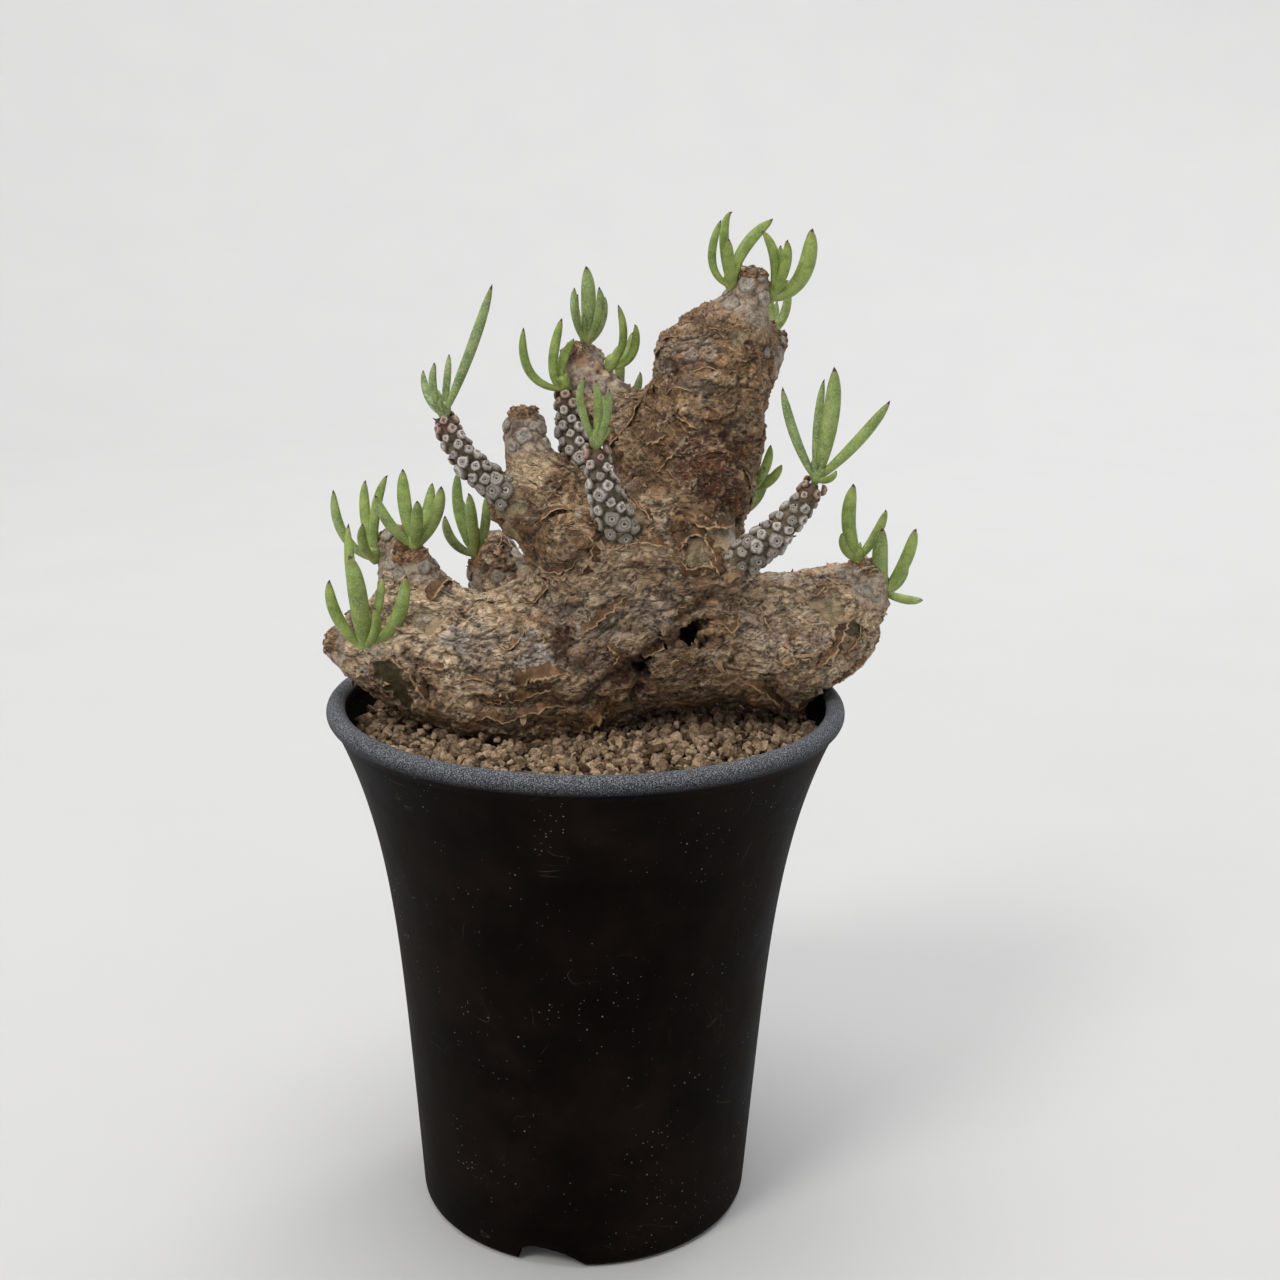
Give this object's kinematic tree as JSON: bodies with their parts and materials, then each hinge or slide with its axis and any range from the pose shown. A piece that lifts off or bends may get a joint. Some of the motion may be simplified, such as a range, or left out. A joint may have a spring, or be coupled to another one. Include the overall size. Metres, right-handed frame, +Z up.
{
  "type": "potted tylecodon pearsonii",
  "caption": "Potted tylecodon pearsonii: a squat peeling caudex with knobbly shoots and tufts of plump spindle leaves, on grit in a tall flared black pot.",
  "frame": {"origin": "on the surface that the pot stands on, under the middle of the whole outline; the pot's own axis stands 8.8 mm to the -X side of it", "axes": "+Z up along the pot's axis, -Y towards the side that the picture shows, +X to the right seen from there"},
  "size_m": [0.1382, 0.1196, 0.2348],
  "materials": {
    "pot_plastic": "matte moulded black plastic, dusty, with a fine grain on the rim",
    "soil_grit": "loose brown clay granules, dry and dull",
    "bark": "grey-brown peeling bark with olive bare patches",
    "shoot_bark": "pale grey skin with knobs and scars",
    "leaf": "smooth succulent skin with a faint waxy bloom"
  },
  "bodies": {
    "root": {"pot": "pot_plastic", "soil": "soil_grit", "caudex": "bark", "shoot_left": "shoot_bark", "shoot_middle": "shoot_bark", "shoot_front": "shoot_bark", "shoot_right": "shoot_bark", "shoot_back": "shoot_bark", "leaves_shoot_left": "leaf", "leaves_shoot_middle": "leaf", "leaves_branch_top": "leaf", "leaves_branch_side": "leaf", "leaves_shoot_front": "leaf", "leaves_crown_left": "leaf", "leaves_crown_right": "leaf", "leaves_crown_back": "leaf", "leaves_trunk_side": "leaf", "leaves_shoot_right": "leaf", "leaves_lobe_top": "leaf", "leaves_lobe_end": "leaf", "leaves_left_end": "leaf", "leaves_left_branch": "leaf", "leaves_left_middle": "leaf", "leaves_stem_behind": "leaf", "leaves_shoot_back": "leaf", "leaves_lobe_behind": "leaf"}
  },
  "joints": []
}
